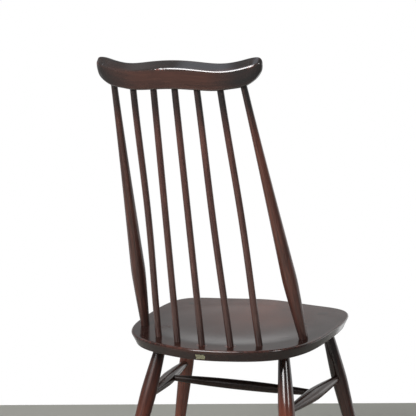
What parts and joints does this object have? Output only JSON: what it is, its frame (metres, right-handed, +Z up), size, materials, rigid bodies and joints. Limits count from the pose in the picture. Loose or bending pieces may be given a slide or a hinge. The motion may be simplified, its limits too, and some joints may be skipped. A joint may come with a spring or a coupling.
{
  "type": "spindle-back chair",
  "caption": "High-back stick-back dining chair: dished seat, splayed legs tied by an H of turned stretchers, slender spindles and a bow-shaped crest rail, dark lacquer, worn.",
  "frame": {"origin": "On the floor, at the middle of the chair's outline in plan. The feet stand on the plane of the origin.", "axes": "+Z up; the seat faces -Y and the back is at +Y; +X is the sitter's left."},
  "size_m": [0.5066, 0.5188, 0.9937],
  "materials": {
    "seat_wood": "dark stained elm, satin to gloss lacquer, worn at the edges",
    "leg_wood": "dark red-brown stained beech, glossy lacquer",
    "stretcher_wood": "dark stained beech, satin lacquer, scuffed",
    "stick_wood": "dark stained beech, satin lacquer",
    "rail_wood": "dark stained bent beech, glossy lacquer, chipped along its edge",
    "wedge_wood": "end grain of dark stained beech, lacquered"
  },
  "bodies": {
    "root": {"seat": "seat_wood", "leg_front_left": "leg_wood", "leg_front_right": "leg_wood", "leg_back_left": "leg_wood", "leg_back_right": "leg_wood", "leg_wedge_front_left": "wedge_wood", "leg_wedge_front_right": "wedge_wood", "leg_wedge_back_left": "wedge_wood", "leg_wedge_back_right": "wedge_wood", "side_stretcher_left": "stretcher_wood", "side_stretcher_right": "stretcher_wood", "cross_stretcher": "stretcher_wood", "back_post_left": "stick_wood", "back_post_right": "stick_wood", "post_wedge_left": "wedge_wood", "post_wedge_right": "wedge_wood", "spindle_1": "stick_wood", "spindle_2": "stick_wood", "spindle_3": "stick_wood", "spindle_4": "stick_wood", "spindle_5": "stick_wood", "crest_rail": "rail_wood"}
  },
  "joints": []
}
